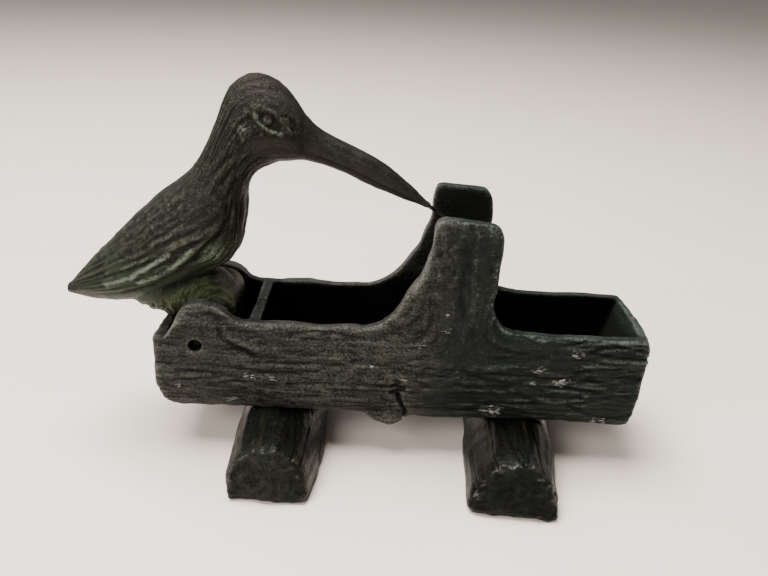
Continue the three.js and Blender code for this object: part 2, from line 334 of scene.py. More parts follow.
def barkHeight(co, no):
    x, y, z = co.T
    outward = np.maximum(no[:, 1] * np.sign(y), np.where(z < 18, -no[:, 2], 0))
    outer = fade(outward, 0.25, 0.7)
    along, up, across, inPost = barkFlow(co)
    side = np.sign(y) * 31
    across = across + 0.9 * ripple(co, (13, 40, 9), 1)

    def grain(length, width, seed):
        flat = ripple(stack(along, across, side), (length, width, 1), seed)
        risen = ripple(stack(up, across, side), (length, width, 1), seed + 3)
        return flat * (1 - inPost) + risen * inPost

    ridges = grain(17, 1.9, 2)
    fine = grain(9, 0.95, 9)
    creases = -0.6 * hump(ridges, 0, 0.08) - 0.42 * hump(fine, 0.02, 0.1)
    swell = 0.55 * ridges + 0.4 * fine
    smoothEar = 1 - 0.75 * hump(np.hypot(x - pivotX, z - pivotZ - 1.5), 0, 6.2)
    onPost = fade(z, 30, 38)
    atRoot = fade(z, 20, 26) * fade(np.abs(x - logLook["postMiddle"]), 26, 15)
    coarse = (1 - np.maximum(0.55 * onPost, 0.35 * atRoot)) * (0.7 + 0.5 * fade(x, 46, 68))
    height = logLook["bark"] * outer * smoothEar * coarse * (swell + creases)
    lumps = 0.42 * ripple(co, (10, 9, 7), 5) + 0.16 * ripple(co, (2.4, 2.4, 2.0), 6)
    pits = -0.1 * onPost * outer * fade(ripple(co, (0.9, 0.9, 1.3), 14), 0.1, 0.5)
    return height + pits + lumps * (0.45 + 0.55 * outer)


def logMarks(co, no):
    # the hollow and crack by the knot and the groove under the ear, near side only
    x, y, z = co.T
    near = fade(-y, 4, 7) * fade(-no[:, 1] - no[:, 2], 0.1, 0.5)
    crack = [(46.9, 15.2), (47.4, 13.9), (48.5, 10.4), (48.3, 8)]
    earGroove = [(11.4, 28.6), (12.1, 26.6), (14.2, 24.9), (17.8, 23.2)]
    earRidge = [(12.9, 28.4), (13.9, 26.7), (16, 25.4), (18.6, 24.4)]
    postHollow = [(58.2, 33), (57.6, 38), (57.8, 46)]
    hollow = np.hypot((x - 46.6) / 1.6, (z - 16.8) / 2.0) + 0.9 * ripple(co, (1.5, 9, 1.1), 31)
    toCrack = distanceToPath(x + 0.5 * ripple(co, (9, 9, 1.4), 32), z, crack)
    height = -0.75 * hump(toCrack, 0, 0.36) - 0.55 * fade(hollow, 1.2, 0.4)
    height -= 0.36 * hump(distanceToPath(x, z, earGroove), 0, 0.55)
    height += 0.16 * hump(distanceToPath(x, z, earRidge), 0, 0.7)
    height -= 0.5 * hump(distanceToPath(x, z, postHollow), 0, 1.5)
    farFace = fade(no[:, 0], 0.6, 0.9) * fade(x, 90, 94)
    birdFace = fade(-no[:, 0], 0.6, 0.9) * fade(x, 2, -1)
    ends = np.maximum(farFace, birdFace)
    rings = np.hypot(y, (z - 19) * 1.05) + 0.8 * ripple(co, (30, 6, 6), 8)
    sawn = 0.12 * np.sin(rings * 2 * math.pi / 1.9) + 0.25 * ripple(co, (9, 4, 4), 4)
    return near * height + ends * sawn


def wander(piece):
    # the posts' hand-cut outlines and the rim wander a little, and the far post is the taller one
    co, _ = readPoints(piece.data)
    x, y, z = co.T.copy()
    fromPin = np.hypot(x - pivotX, z - pivotZ)
    earRadius, earFace = logLook["earRound"]
    bulge = np.sign(y) * (earFace - 0.25 * (fromPin / earRadius) ** 2)
    onEar = fade(np.abs(y), 11, 11.4) * fade(fromPin, 8, 5.4) * fade(fromPin, 1.2, 1.5)
    co[:, 1] += onEar * (bulge - y)
    across = 1 - (y / 11) ** 2
    co[:, 0] += logLook["endBulge"] * fade(x, 90, farEnd) * across  # the far end is rounded across
    high = fade(z, 30, 40)
    farSide = fade(y, -2, 2)
    flank = np.sign(y) * 17
    co[:, 0] += high * 0.75 * ripple(stack(x, flank, z), (26, 1, 4.6), 21)
    co[:, 0] -= high * farSide * 0.07 * (x - logLook["postMiddle"] - 1)
    rim = 0.35 * fade(z, 24, 29) * ripple(stack(x, flank, z), (7, 1, 60), 22)
    co[:, 2] += farSide * logLook["farPostRise"] * fade(z, 38, 52) + rim
    piece.data.vertices.foreach_set("co", co.ravel())
    piece.data.update()


def makeLog():
    bm = nodeBlank("log_trough")
    addBall(bm, (44.7, -8.5, 10.3), (4.9, 3.1, 3.0))  # the knot runs out into the bark
    piece = newPiece("logTrough", bm)
    fuse(piece, logLook["voxel"], logLook["smoothing"])
    wander(piece)
    sculpt(piece, barkHeight)
    sculpt(piece, logMarks)
    paintRelief(piece, 14, 0.35)
    co, no = readPoints(piece.data)
    x, y, z = co.T
    spots = np.zeros(len(co))
    for chipX, chipZ, size in logChips:
        spots = np.maximum(spots, hump(np.hypot((x - chipX) / 1.7, z - chipZ), 0, size))
    paintMask(piece.data, "chips", spots * fade(-no[:, 1], 0.1, 0.5) * fade(y, 0, -4))
    # Painted shade: the trough's inner walls, floor and ends are marked to be painted near black, a little
    # less towards the far end and up the posts.
    shadedInnerSides = fade(-no[:, 1] * np.sign(y), 0.1, 0.6) * fade(np.abs(y), 10.6, 9.6)
    shadedInnerEnds = fade(np.abs(y), 9.2, 8.6) * fade(x, 1, 2) * fade(x, 93.4, 92.6) * fade(z, 29, 28)
    paintMask(piece.data, "inside", np.maximum(shadedInnerSides, shadedInnerEnds * (0.6 + 0.4 * fade(x, 80, 60)))
              * fade(z, 9.6, 10.4) * (1 - 0.3 * fade(z, 28, 34)))
    betweenWalls = fade(np.abs(y), 10.6, 9.6)
    onPartition = fade(x, 14, 15) * fade(x, 20.6, 19.8) * betweenWalls * fade(z, 26, 28)
    shade = fade(x + 2 * ripple(co, (9, 9, 9), 30), 47, 59)
    paintMask(piece.data, "shade", np.maximum(shade, 0.6 * onPartition))
    return finishPiece(piece, "log", logPaint(), ["log_trough"])


# Where the finish has chipped down to pale metal on the near side: x, z and size.
logChips = [(3, 15.4, 1.0), (17.4, 18.2, 1.7), (21.2, 17.9, 1.7), (41.4, 21.6, 1.5), (47.5, 19, 1.0),
            (55.3, 33.3, 1.0), (55.4, 30, 1.4), (50.7, 26.4, 1.1), (80.8, 26.4, 1.8), (78.4, 20, 2.3),
            (72.6, 19.8, 1.2), (84, 17.1, 1.1), (13, 12.2, 1.6), (40.5, 9.4, 1.5), (66, 12.4, 2.4),
            (74, 22.8, 1.6), (88, 10.8, 2.2)]


def logPaint():
    look = logLook
    paint = Paint("agedLogCasting")
    relief = paint.mask("relief")
    inside = paint.mask("inside")
    grain = paint.cloud((4.0, 1.2, 0.5), 5.0, 0.7, 1.0)
    patches = paint.cloud(9.0, 3.0, 0.6, 2.0)
    speck = paint.cloud(0.42, 3.0, 0.7, 3.0)
    shade = paint.mask("shade")
    tone = paint.fade(grain * 0.55 + patches * 0.3 + relief * 0.35 + speck * 1.3, 0.92, 1.34)
    colour = paint.mix(tone, look["dark"], look["mid"])
    green = paint.fade(paint.cloud(18.0, 2.0, 0.5, 6.0), 0.46, 0.64)
    colour = paint.mix(green * 0.2 + shade * 0.78, colour, look["shaded"])
    # painted shade: the bark's grooves, the crack and the hollow darken towards black
    creaseShade = paint.fade(relief, -0.08, -0.6)
    colour = paint.mix(creaseShade * 0.8, colour, look["creaseShade"])
    rub = paint.fade(relief + shade * 0.12 + (speck - 0.5) * 2.4 + (grain - 0.5) * 0.9, 0.36, 1.05)
    colour = paint.mix(rub * 0.75, colour, paint.mix(shade, look["rubbed"], look["greyed"]))
    # painted shade: the inside of the trough is darkened almost to black
    colour = paint.mix(inside * 0.93, colour, look["inside"])
    flake = paint.cloud((1.1, 0.7, 0.3), 4.0, 0.75, 4.0)
    chip = paint.fade(paint.mask("chips") * 0.31 + flake, 0.8, 0.88)
    stray = paint.fade(paint.cloud((0.9, 0.8, 0.35), 4.0, 0.7, 5.0) + patches * 0.25, 0.86, 0.92)
    bare = paint.add("ShaderNodeMath", {"operation": "MAXIMUM"}, {0: chip, 1: stray * 0.5})
    bare = bare * (1 - inside)
    colour = paint.mix(bare, colour, look["chip"])
    rough = 0.5 + (patches - 0.5) * 0.3 - rub * 0.1 + (speck - 0.5) * 0.4 + inside * 0.2
    pits = paint.bump(paint.cloud((2.6, 0.8, 0.32), 5.0, 0.75, 7.0), 0.6)
    normal = paint.bump(bare * -0.6 + speck, 0.6, pits)
    metallic = 0.2 + rub * 0.3 + inside * 0.75
    return paint.finish(colour, rough, metallic, normal, **{"Specular IOR Level": 0.14})


footLook = {
    "voxel": 0.34,
    "smoothing": 150,
    "flutes": 0.34,
    "dark": (0.0014, 0.0016, 0.0013, 1),
    "mid": (0.0078, 0.0076, 0.0058, 1),
    "rubbed": (0.09, 0.088, 0.072, 1),
    "face": (0.024, 0.0225, 0.0185, 1),
    "darkFace": (0.0095, 0.0115, 0.009, 1),
    "green": (0.006, 0.0095, 0.0068, 1),
    "olive": (0.034, 0.032, 0.013, 1),
    "wornEdge": (0.12, 0.118, 0.1, 1),
    "chip": (0.36, 0.36, 0.33, 1),
}


def footHeight(co, no):
    # long split-wood flutes on the top and sides, rough chopped faces at the ends
    endFace = fade(np.abs(no[:, 1]), 0.55, 0.85)
    under = fade(-no[:, 2], 0.6, 0.9)
    flutes = ripple(co, (3.2, 34, 3.2), 3) + 0.5 * ripple(co, (1.1, 14, 1.1), 4)
    splits = -0.8 * hump(ripple(co, (5.2, 40, 4.4), 12), 0, 0.035)
    along = footLook["flutes"] * (flutes + splits) * (1 - endFace) * (1 - under)
    lumps = 0.55 * ripple(co, (8, 9, 5), 7) + 0.12 * ripple(co, (1.8, 2.6, 1.6), 10)
    chopped = endFace * (0.4 * ripple(co, (3.4, 3.4, 2.4), 8) + 0.26 * ripple(co, (1.5, 1.0, 0.8), 9))
    return (along + lumps + 0.2) * (1 - 0.9 * under) + chopped


def makeFoot(name, node, face):
    bm = nodeBlank(node)
    piece = newPiece(name, bm)
    fuse(piece, footLook["voxel"], footLook["smoothing"])
    sculpt(piece, footHeight)
    co, no = readPoints(piece.data)
    co[:, 2] = np.maximum(co[:, 2], 0)
    piece.data.vertices.foreach_set("co", co.ravel())
    paintRelief(piece, 14, 0.3)
    paintMask(piece.data, "ends", fade(np.abs(no[:, 1]), 0.6, 0.82))
    paintMask(piece.data, "worn", hump(np.abs(no[:, 1]), 0.58, 0.12) * fade(no[:, 2], 0.1, 0.5))
    return finishPiece(piece, "log", footPaint("aged" + name, face), [node])


def footPaint(name, face):
    look = footLook
    paint = Paint(name)
    relief = paint.mask("relief")
    streaks = paint.cloud((2.6, 20.0, 2.6), 3.0, 0.6, 1.0)
    patches = paint.cloud(6.0, 3.0, 0.6, 2.0)
    speck = paint.cloud(0.5, 3.0, 0.7, 3.0)
    faces = paint.mask("ends")
    grit = paint.cloud(1.3, 5.0, 0.7, 11.0)
    grain = streaks * 0.8 * (1 - faces) + grit * 0.8 * faces
    tone = paint.fade(grain + patches * 0.25 + speck * 0.5, 0.62, 1.0)
    colour = paint.mix(tone, look["dark"], paint.mix(faces, look["mid"], look[face]))
    green = paint.fade(paint.cloud(14.0, 2.0, 0.5, 6.0), 0.45, 0.62)
    colour = paint.mix(green * 0.5, colour, look["green"])
    olive = paint.fade(paint.cloud((2.0, 40.0, 2.0), 2.0, 0.5, 9.0), 0.56, 0.7) * (1 - faces)
    colour = paint.mix(olive * 0.5, colour, look["olive"])
    rub = paint.fade(relief + (speck - 0.5) * 1.6 + (streaks - 0.5) * 0.8 + (grit - 0.5) * 0.7, 0.34, 1.1)
    colour = paint.mix(rub * (0.6 - faces * 0.1), colour, look["rubbed"])
    edge = paint.fade(paint.mask("worn") * 0.5 + grit * 0.5 + speck * 0.7, 0.86, 1.2)
    colour = paint.mix(edge * 0.4, colour, look["wornEdge"])
    stray = paint.fade(paint.cloud((0.7, 0.7, 0.5), 4.0, 0.7, 5.0) + patches * 0.25, 0.84, 0.9)
    colour = paint.mix(stray * 0.4, colour, look["chip"])
    rough = 0.34 + (patches - 0.5) * 0.3 + (speck - 0.5) * 0.4 + faces * 0.14
    fine = paint.bump(streaks * (1 - faces) + grit * faces * 1.6, 0.4)
    normal = paint.bump(speck * 0.7 + paint.cloud(0.9, 4.0, 0.65, 8.0), 0.3, fine)
    return paint.finish(colour, rough, 0.45 + rub * 0.2, normal, **{"Specular IOR Level": 0.1})


birdLook = {
    "voxel": 0.26,
    "smoothing": 6,
    "tipFrom": 46.5,
    "dark": (0.005, 0.0047, 0.0035, 1),
    "mid": (0.0285, 0.0287, 0.0205, 1),
    "rubbed": (0.09, 0.089, 0.072, 1),
    "green": (0.018, 0.0295, 0.0152, 1),
    "moss": (0.062, 0.076, 0.032, 1),
    "pale": (0.124, 0.158, 0.12, 1),
    "bare": (0.122, 0.114, 0.08, 1),
    # crease: near black, painted shade in the grooves and hollows
    "creaseShade": (0.004, 0.004, 0.003, 1),
    "crown": (0.028, 0.0205, 0.0165, 1),
    "cheek": (0.0115, 0.011, 0.0088, 1),
}

# Sections from tail to beak: top point, bottom point, half-width.
birdSections = np.array([
    (-21.5, 30.3, -21.4, 29.2, 1.2), (-18.8, 33.7, -17.0, 28.6, 3.4), (-14.2, 38.8, -10.5, 28.4, 6),
    (-7.6, 45.5, -2.5, 30, 8.3), (-1.2, 51.5, 5.5, 34.5, 9), (2.9, 54.5, 11.6, 37.8, 8.8),
    (4.9, 56.2, 14.4, 42, 8), (6, 57.6, 15.5, 48.1, 7), (6.9, 58.9, 16, 53, 6.2),
    (9, 62.8, 16.9, 55.5, 5.7), (11.1, 67.7, 18, 56.8, 5.7), (13.1, 72.2, 20.2, 57.9, 6),
    (16.8, 74.7, 22.1, 58.7, 6.2), (20.4, 74.3, 24, 59, 6), (24, 71.8, 25.9, 59.2, 5.1),
    (27.7, 66.7, 28, 59, 3.7), (31.5, 64.1, 31.6, 58, 2.9), (37.1, 61.5, 35.4, 56.6, 2.4),
    (41, 59.6, 39.3, 54.8, 2.1), (44.9, 56.9, 43.2, 53.4, 1.7), (49, 53.5, 47.6, 51.7, 1.2),
    (51.4, 51.7, 50.4, 50.1, 0.95),
])


def birdFlow(co):
    # s counts sections from the tail (0) to the beak's tip (21); lean is the angle round the
    # section in degrees, -90 under the belly, 0 at the widest and 90 along the back
    steps = np.linspace(0, len(birdSections) - 1, 8 * (len(birdSections) - 1) + 1)
    knots = np.arange(len(birdSections))
    topX, topZ, lowX, lowZ = (np.interp(steps, knots, column) for column in birdSections.T[:4])
    alongX, alongZ = topX - lowX, topZ - lowZ
    span = np.hypot(alongX, alongZ)
    s = np.empty(len(co))
    lift = np.empty(len(co))
    for first in range(0, len(co), 20000):
        part = slice(first, first + 20000)
        px = co[part, 0, None] - lowX
        pz = co[part, 2, None] - lowZ
        level = (px * alongX + pz * alongZ) / span ** 2
        off = (px * alongZ - pz * alongX) / span
        miss = np.abs(off) + 6 * span * np.maximum(0, np.abs(level - 0.5) - 0.62)
        best = np.clip(miss.argmin(1), 1, len(steps) - 2)
        row = np.arange(len(best))
        slope = off[row, best + 1] - off[row, best - 1]
        nudge = np.clip(-2 * off[row, best] / np.where(np.abs(slope) < 1e-6, -1, slope), -1, 1)
        s[part] = steps[best] + nudge * (steps[1] - steps[0])
        lift[part] = 2 * level[row, best] - 1
    wide = np.interp(s, knots, birdSections[:, 4])
    lean = np.degrees(np.arctan2(lift, np.abs(co[:, 1]) / wide))
    return s, lean


wing = [(-21.8, 29.7), (-15, 31.4), (-9, 32.9), (-4.4, 34.4), (-1.2, 35.6), (3.1, 38.4), (6.4, 41.3),
        (8.9, 44.2), (11.5, 46.8), (12.6, 49.2), (12.2, 52), (8.8, 56.0), (0, 60), (-26, 34)]
lowerEdge = wing[:10]
paleRidges = [[(2.4, 42.3), (-1.5, 39.6), (-5.5, 36.8), (-10.9, 34.3)],
              [(6.6, 43.2), (3.2, 39.9), (-1.5, 37), (-4, 35.9)]]
darkRidge = [(5.6, 44.9), (2.6, 43.3), (-0.5, 41.3), (-4, 39.9), (-6.4, 38.4)]
eyeAt = (20.8, 67.7)
crownAt = (19.6, 65.6)
tuftAt = (16.4, 65.4)
cheekAt = (21.4, 62.4)
drumAt = (9.6, 30)
crownBand = 1.35  # one soft band of the crown's plumage, in mm


def onCheek(x, z):
    return fade(np.hypot((x - cheekAt[0]) / 2, z - cheekAt[1]), 2.8, 1.8)


def eyeShape(x, z):
    # an almond socket sunk in the cheek, with a ball in its rear half and lids round it
    tilt = math.radians(-34)
    dx, dz = x - eyeAt[0] - 0.5, z - eyeAt[1] + 0.45
    along = dx * math.cos(tilt) + dz * math.sin(tilt)
    across = -dx * math.sin(tilt) + dz * math.cos(tilt)
    almond = np.sqrt((along / 2.55) ** 2 + (across / 1.15) ** 2 + 1e-9)
    ball = np.hypot(x - eyeAt[0], z - eyeAt[1]) / 1.0
    below = fade(across, 0.3, -0.4)
    height = -0.3 * fade(almond, 1.15, 0.6)
    height += 0.5 * np.sqrt(np.clip(1 - ball ** 2, 0, 1))
    height += 0.14 * hump(almond, 1.25, 0.28) * below
    height += 0.3 * hump(almond, 1.45, 0.35) * (1 - below)
    return height, almond, below * hump(almond, 1.15, 0.4)


def wingHeight(co, s, sideways):
    # the wing stands proud of the belly along its lower edge, and its feathers fan out of the tail
    x, y, z = co.T
    inWing = insideOutline(x, z, wing)
    fromEdge = distanceToPath(x, z, lowerEdge)
    low = (0.3 + 0.7 * fade(z, 50, 45.5)) * fade(z, 57, 51) * fade(s, 0.3, 1.6)
    groove = 0.6 * hump(inWing, -0.55, 0.5) * fade(s, 2, 3.2)
    height = (0.6 * fade(inWing, -0.3, 0.7) - groove) * low
    far = np.hypot(x + 25.5, z - 28.6)
    fan = np.degrees(np.arctan2(z - 28.6, x + 25.5)) + 1.2 * ripple(co, (9, 60, 9), 2)
    blade = (1 - np.abs(2 * ((fan / 2.9) % 1) - 1)) ** 0.6 - 0.72
    strong = fade(fromEdge, 8.5, 2) * fade(inWing, 0.1, 0.6) * fade(s, 6.2, 4.8)
    height += 0.34 * blade * strong
    upper = fade(inWing, 0, 2) * fade(s, 0.6, 1.6) * fade(s, 7.8, 6.4)
    quills = ripple(stack(fan, far, y), (2.3, 6.5, 9), 4) + 0.7 * ripple(stack(fan, far, y), (1.1, 2.6, 9), 5)
    scales = ripple(co, (1.2, 9, 1.2), 6)
    height += upper * (0.3 * quills + 0.2 * scales * fade(fromEdge, 3, 8))
    for ridge in paleRidges:
        broken = 1 + 0.9 * ripple(co, (1.3, 9, 1.3), 23)
        height += 0.34 * hump(distanceToPath(x, z, ridge), 0, 0.6) * broken
    height += 0.26 * hump(distanceToPath(x, z, darkRidge), 0, 0.55)
    height += 0.4 * hump(np.hypot(x - 10.6, (z - 41.6) * 1.15), 0, 2.7) * fade(inWing, 0, -0.8)
    return height * sideways


def headHeight(co, s, lean, sideways):
    # crown in soft bands, cheek bare and smooth, a tuft behind the eye, and the beak's mouth line
    x, y, z = co.T
    fromCrown = np.hypot(x - crownAt[0], z - crownAt[1]) + 0.5 * ripple(co, (4, 30, 4), 9)
    crown = fade(fromCrown, 5.4, 6.4) * fade(z + 0.6 * x, 80, 82.5) * fade(s, 15.6, 14.4)
    height = 0.07 * crown * np.cos((fromCrown - 7.9) * 2 * math.pi / crownBand)
    tuft = hump(np.hypot((x - tuftAt[0]) / 1.2, (z - tuftAt[1]) / 2.2), 0, 1.3)
    height += tuft * (0.1 + 0.5 * ripple(co, (0.9, 9, 2.4), 11))
    temple = fade(fromCrown, 6, 4.5) * fade(s, 9, 10) * fade(s, 15, 14)
    height += 0.22 * temple * ripple(co, (1.3, 9, 1.0), 12)
    beak = fade(s, 14.2, 15.8)
    tip = fade(s, 21.2, 18.5)
    height -= 0.32 * beak * (0.35 + 0.65 * tip) * hump(lean, -30, 9)
    height -= 0.13 * beak * tip * hump(lean, 36, 10)
    height += 0.13 * beak * hump(np.abs(y), 0, 0.5) * fade(lean, 30, 70)
    height += 0.05 * beak * ripple(stack(s, lean, y), (4, 9, 60), 17)
    return height * np.maximum(sideways, beak)


def legHeight(co, sideways, legZone, onDrum):
    # feathered legs drawn in over the drum, with toes round it, and the drum's turned rim
    x, y, z = co.T
    fromDrum = np.hypot(x - drumAt[0], z - drumAt[1])
    around = np.degrees(np.arctan2(z - 27, x - 3))
    turned = stack(around, fromDrum, y)
    strands = ripple(turned, (26, 1.1, 4), 13) + 0.8 * ripple(turned, (9, 0.62, 1.6), 14)
    toes = np.zeros(len(co))
    for level, start in ((33.6, -3.4), (31.2, -2.2), (28.9, 0.2)):
        arch = [(start, level - 1.6), (start + 4, level),
                (start + 8.5, level + 0.2), (start + 12, level - 1.7)]
        toes = np.maximum(toes, hump(distanceToPath(x, z, arch), 0, 0.8))
    fur = legZone * (1 - onDrum) * fade(z, 25.5, 27.5)
    lathed = np.cos((fromDrum + 0.3 * ripple(co, (3, 3, 3), 18)) * 2 * math.pi / 0.8)
    return fur * (0.42 * strands + 0.2 * toes * sideways) + 0.05 * onDrum * lathed * sideways


def birdZones(co, no):
    # the legs below the body, and within them the bare face of the drum
    x, _, z = co.T
    under = np.interp(x, [-22, -10.5, -2.5, 5.5, 11.6, 15], [29, 28.4, 30.4, 35.2, 38.2, 42])
    legZone = fade(under - z, -0.4, 0.8)
    facing = fade(no[:, 0] + 0.1 * ripple(co, (2, 2, 2), 24), 0.2, 0.42)
    return legZone, facing * fade(x, 8.6, 10) * legZone


def birdHeight(co, no):
    x, y, z = co.T
    s, lean = birdFlow(co)
    sideways = fade(np.abs(no[:, 1]), 0.15, 0.5)
    onBody = fade(z, 26.5, 28.5)
    legZone, onDrum = birdZones(co, no)
    inWing = insideOutline(x, z, wing)

    height = wingHeight(co, s, sideways) + headHeight(co, s, lean, sideways)

    # neck and breast in long strands, the cheek left smooth
    flat = stack(s, lean, np.sign(y) * 19)
    strands = ripple(flat, (2.4, 6.5, 1), 6) + 0.7 * ripple(flat, (1.1, 3.0, 1), 7)
    neck = fade(s, 6.0, 7.6) * fade(s, 12.6, 10.6) * fade(inWing, 2, -0.6)
    breast = fade(s, 3.6, 4.4) * fade(s, 8, 6.5) * fade(inWing, 0.2, -0.8)
    cheek = onCheek(x, z)
    height += (0.26 * neck + 0.34 * breast) * strands
    folds = [[(10.4, 57.4), (13.8, 60.8)], [(11.8, 55.4), (14.8, 59.0)], [(13, 53), (14.6, 56)]]
    for fold in folds:
        height -= 0.26 * sideways * hump(distanceToPath(x, z, fold), 0, 0.45)
    height *= 1 - 0.9 * cheek

    socket, almond, _ = eyeShape(x, z)
    rough = fade(np.hypot((x - 22.4) / 1.6, z - 66.2), 3.2, 2) * (1 - cheek)
    height += rough * (0.16 * ripple(co, (0.9, 5, 0.8), 19) + 0.2 * ripple(co, (0.5, 3, 0.45), 20))
    height = np.where(almond < 2.2, height * fade(almond, 0.9, 1.8), height)
    height += socket * fade(np.abs(no[:, 1]), 0.3, 0.55)
    height += 0.08 * hump(y, 0, 0.28) * fade(s, 4, 6) * fade(lean, 40, 75)  # casting seam
    legs = legHeight(co, sideways, legZone, onDrum)
    calm = 0.16 * ripple(co, (4, 4, 4), 15) + 0.05 * ripple(co, (1.3, 1.3, 1.3), 16)
    return height * onBody * (1 - legZone) + legs + calm * onBody


def birdMasks(piece):
    # where the colours change, kept as attributes for the material
    co, no = readPoints(piece.data)
    x, _, z = co.T
    s, lean = birdFlow(co)
    legZone, onDrum = birdZones(co, no)
    side = fade(np.abs(no[:, 1]), 0.2, 0.6)
    inWing = insideOutline(x, z, wing)
    pale = np.zeros(len(co))
    for ridge in paleRidges:
        pale = np.maximum(pale, hump(distanceToPath(x, z, ridge), 0, 0.8))
    pale = np.maximum(pale, 0.45 * hump(distanceToPath(x, z, darkRidge), 0, 0.8))
    pale = np.maximum(pale, 0.6 * hump(np.hypot(x + 10.4, z - 36.6), 0, 1.2))
    belly = hump(np.hypot(x - 10.8, (z - 42) * 1.05), 0, 3.3) * fade(inWing, 0.2, -0.5)
    _, _, lid = eyeShape(x, z)
    tuft = 0.5 * hump(np.hypot((x - tuftAt[0]) / 1.2, (z - tuftAt[1]) / 2), 0, 1.3)
    pale = np.maximum(np.maximum(pale, 0.9 * belly), np.maximum(0.8 * lid, tuft))
    paintMask(piece.data, "pale", pale * side)
    green = fade(z, 46, 33) * fade(x, -22, -12) + 0.5 * belly + 0.6 * legZone
    paintMask(piece.data, "green", np.clip(green, 0, 1) * (1 - onDrum))
    moss = np.maximum(legZone * fade(x, -3.5, 0.5), 0.35 * belly)
    paintMask(piece.data, "moss", moss * (1 - onDrum))
    paintMask(piece.data, "drum", onDrum)
    fromCrown = np.hypot(x - crownAt[0], z - crownAt[1])
    crown = fade(fromCrown, 5.4, 6.4) * fade(z + 0.6 * x, 80, 82.5)
    bands = 0.5 + 0.5 * np.cos((fromCrown - 7.9) * 2 * math.pi / crownBand)
    paintMask(piece.data, "calm", np.maximum(onCheek(x, z), fade(s, 13.8, 15)))
    paintMask(piece.data, "bands", crown * bands * fade(s, 15.6, 14.4))
    strand = piece.data.uv_layers.new(name="feathers")
    corner = np.empty(len(piece.data.loops), int)
    piece.data.loops.foreach_get("vertex_index", corner)
    spread = np.stack([s / 21, (lean + 90) / 180], axis=1)[corner]
    strand.data.foreach_set("uv", spread.ravel())


def makeBird():
    bm = nodeBlank("bird")
    addBall(bm, (drumAt[0], 0, drumAt[1]), (4.15, 6.2, 4.15))  # the drum's rounded ends
    addBall(bm, (6.2, 0, 31.6), (6.4, 6.1, 4.6))  # the legs' bulk over the drum
    for vert in bm.verts:  # the last few millimetres of the beak taper to a point
        past = max(0, vert.co.x - birdLook["tipFrom"])
        middle = 54.0 - 0.6 * past
        vert.co.z = middle + (vert.co.z - middle) * (1 - 0.13 * past) if past else vert.co.z
        vert.co.y *= 1 - 0.1 * past
    addBall(bm, (-20.4, 0, 30.1), (1.3, 1.4, 1.25), 24)  # the tail's blunt end
    piece = newPiece("birdCasting", bm)
    fuse(piece, birdLook["voxel"], birdLook["smoothing"])
    sculpt(piece, birdHeight)
    paintRelief(piece, 16, 0.26)
    birdMasks(piece)
    return finishPiece(piece, "bird", birdPaint(), ["bird"])


def birdPaint():
    look = birdLook
    paint = Paint("agedBirdCasting")
    relief = paint.mask("relief")
    pale = paint.mask("pale")
    calm = paint.mask("calm")
    strand = paint.add("ShaderNodeUVMap", {"uv_map": "feathers"}, {})
    barbs = paint.add("ShaderNodeMapping", {}, {"Vector": strand, "Scale": (50.0, 74.0, 1.0)})
    sockets = {"Vector": barbs, "Scale": 1.0, "Detail": 5.0, "Roughness": 0.65}
    barbs = paint.add("ShaderNodeTexNoise", {}, sockets)
    patches = paint.cloud(7.0, 3.0, 0.6, 2.0)
    speck = paint.cloud(0.42, 3.0, 0.7, 3.0)
    tone = paint.fade(barbs * 0.45 + patches * 0.3 + relief * 0.45 + speck * 1.25, 0.88, 1.3)
    colour = paint.mix(tone, look["dark"], look["mid"])
    green = paint.mask("green") * paint.fade(paint.cloud(3.2, 4.0, 0.65, 6.0), 0.3, 0.58)
    colour = paint.mix(green * 0.85, colour, look["green"])
    fuzz = paint.fade(paint.cloud((1.6, 1.6, 0.6), 5.0, 0.7, 12.0) * 0.7 + speck * 0.6, 0.5, 0.85)
    colour = paint.mix(paint.mask("moss") * fuzz, colour, look["moss"])
    # painted shade: the feathers' grooves and other hollows darken towards black
    creaseShade = paint.fade(relief, -0.1, -0.7)
    colour = paint.mix(creaseShade * 0.75, colour, look["creaseShade"])
    rub = paint.fade(relief + (speck - 0.5) * 2.3 + (barbs - 0.5) * 0.8, 0.36, 1.05)
    colour = paint.mix(rub * (0.62 - paint.mask("green") * 0.35), colour, look["rubbed"])
    colour = paint.mix(paint.mask("bands") * 0.5, colour, look["crown"])
    colour = paint.mix(calm * 0.6, colour, look["cheek"])
    dust = paint.cloud((0.6, 0.6, 0.5), 4.0, 0.75, 10.0)
    flecks = paint.fade(barbs * 0.3 + speck * 0.8 + dust * 0.9 + relief * 0.2 + pale * 0.3, 1.12, 1.42)
    colour = paint.mix(flecks * pale * 0.8, colour, look["pale"])
    worn = paint.mask("drum") * (0.35 + 0.6 * paint.fade(speck + patches, 0.85, 1.2))
    colour = paint.mix(worn, colour, look["bare"])
    rough = 0.45 + (patches - 0.5) * 0.3 + (speck - 0.5) * 0.4 - rub * 0.06
    fine = paint.bump(barbs * (1 - calm * 0.8), 0.35)
    grit = speck * 0.8 + paint.cloud(1.2, 4.0, 0.65, 8.0) * 0.7
    normal = paint.bump(grit * (1 - calm * 0.6), 0.48, fine)
    return paint.finish(colour, rough, 0.3 + rub * 0.25, normal, **{"Specular IOR Level": 0.14})


steelLook = {"dark": (0.02, 0.018, 0.016, 1), "bright": (0.16, 0.145, 0.13, 1)}


def steelPaint(name, axisStretch, brightness=1.0):
    paint = Paint(name)

    def dimmed(tone):
        return (*(part * brightness for part in steelLook[tone][:3]), 1)

    scratches = paint.cloud(axisStretch, 3.0, 0.6, 1.0)
    stain = paint.cloud(1.6, 3.0, 0.6, 2.0)
    worn = paint.fade(scratches * 0.4 + stain * 0.7, 0.45, 0.7)
    colour = paint.mix(worn, dimmed("dark"), dimmed("bright"))
    rough = 0.34 + (stain - 0.5) * 0.4
    normal = paint.bump(scratches, 0.02)
    return paint.finish(colour, rough, 0.85, normal, **{"Specular IOR Level": 0.2})


